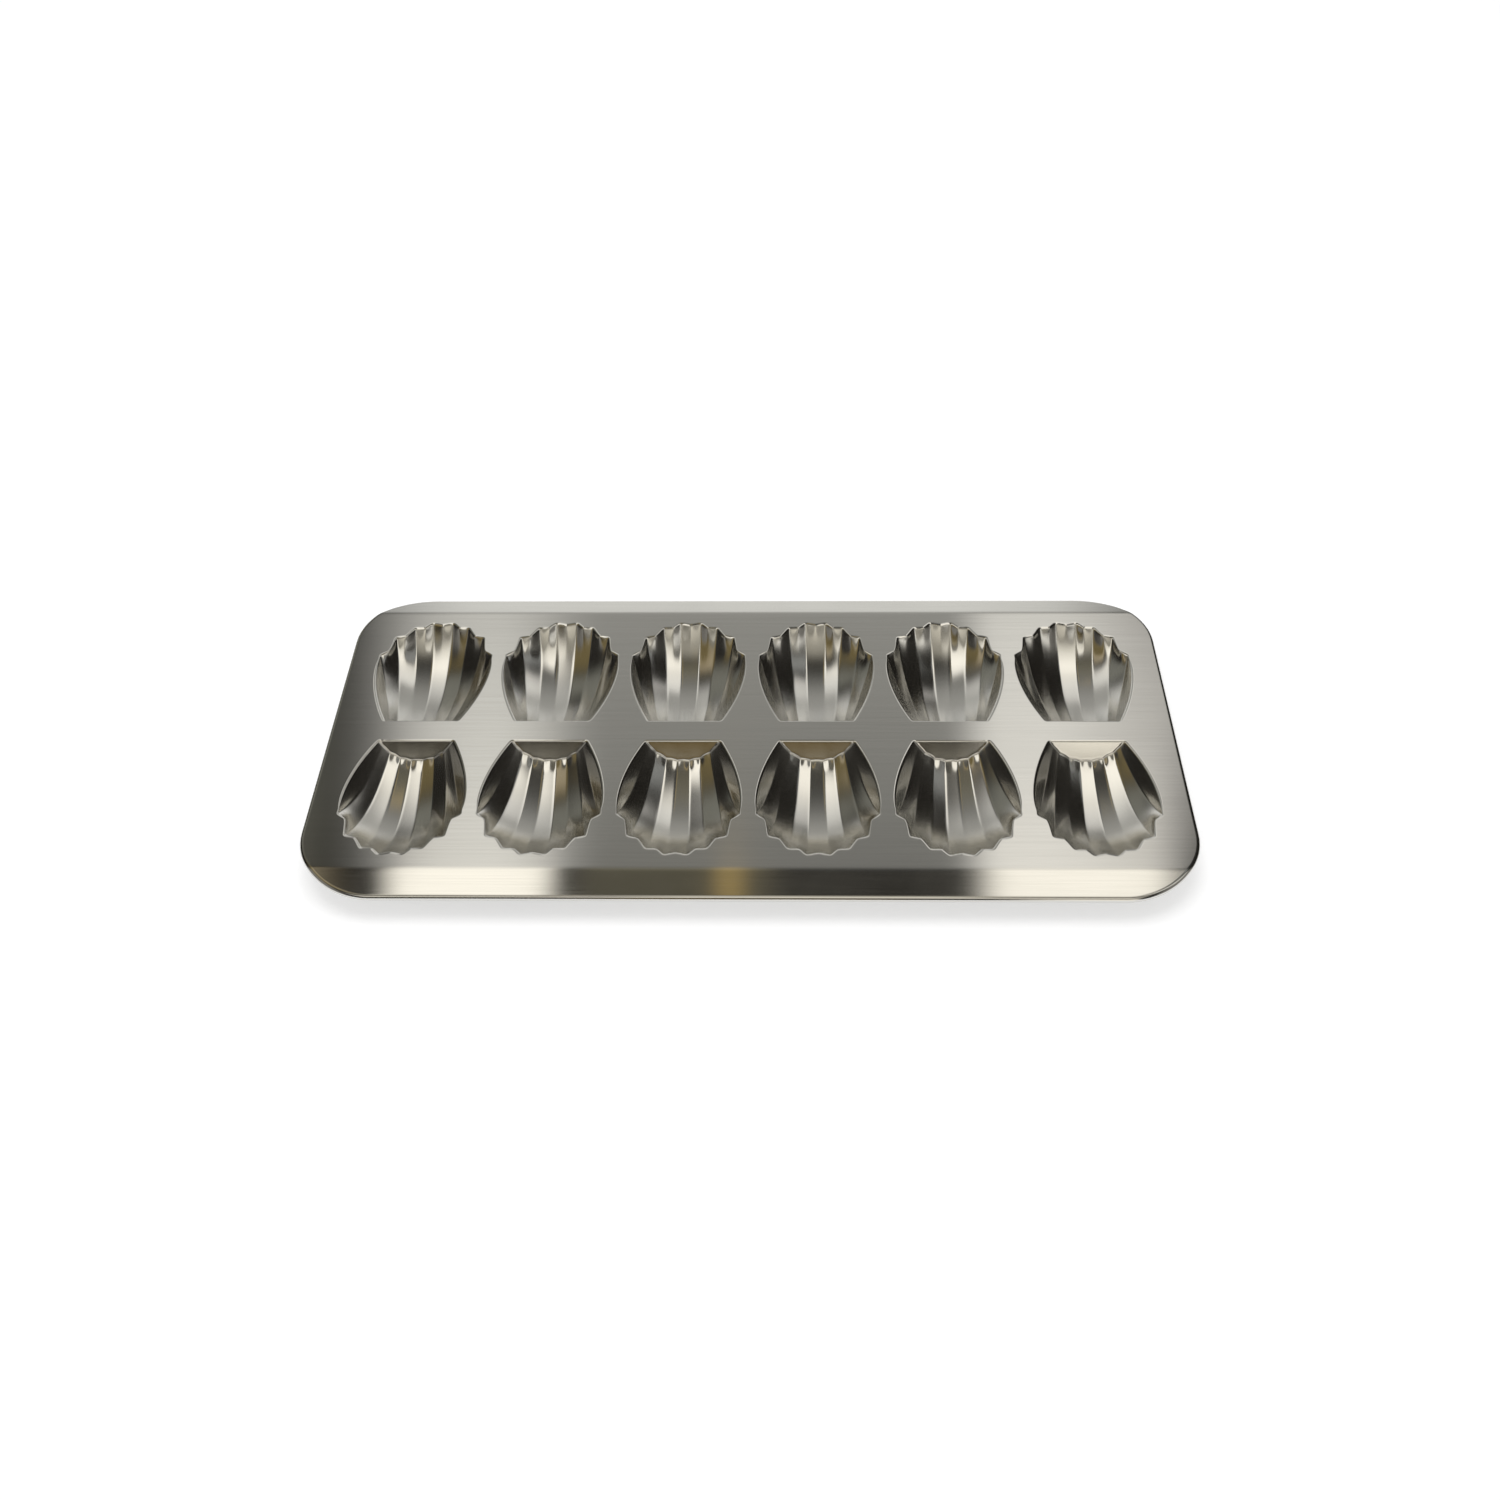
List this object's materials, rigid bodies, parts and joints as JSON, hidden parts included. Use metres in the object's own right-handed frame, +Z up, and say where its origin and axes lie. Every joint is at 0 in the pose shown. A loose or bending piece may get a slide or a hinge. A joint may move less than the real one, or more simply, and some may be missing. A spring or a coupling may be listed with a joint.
{
  "type": "madeleine pan",
  "caption": "Bright steel baking pan with fluted shell-shaped cups in two rows, sloping long margins and a rolled wire rim.",
  "frame": {"origin": "under the middle of the pan, on the surface that it stands on", "axes": "+X along the long side, +Y across the pan to the back row of shells, +Z up"},
  "size_m": [0.395, 0.205, 0.0158],
  "materials": {
    "bright_steel": "bright pressed sheet, fine grain along the pan",
    "rim_wire": "plain drawn wire"
  },
  "bodies": {
    "root": {"deck_sheet": "bright_steel", "rolled_rim": "bright_steel", "shell_front_1": "bright_steel", "shell_front_2": "bright_steel", "shell_front_3": "bright_steel", "shell_front_4": "bright_steel", "shell_front_5": "bright_steel", "shell_front_6": "bright_steel", "shell_back_1": "bright_steel", "shell_back_2": "bright_steel", "shell_back_3": "bright_steel", "shell_back_4": "bright_steel", "shell_back_5": "bright_steel", "shell_back_6": "bright_steel", "rim_wire": "rim_wire"}
  },
  "joints": []
}
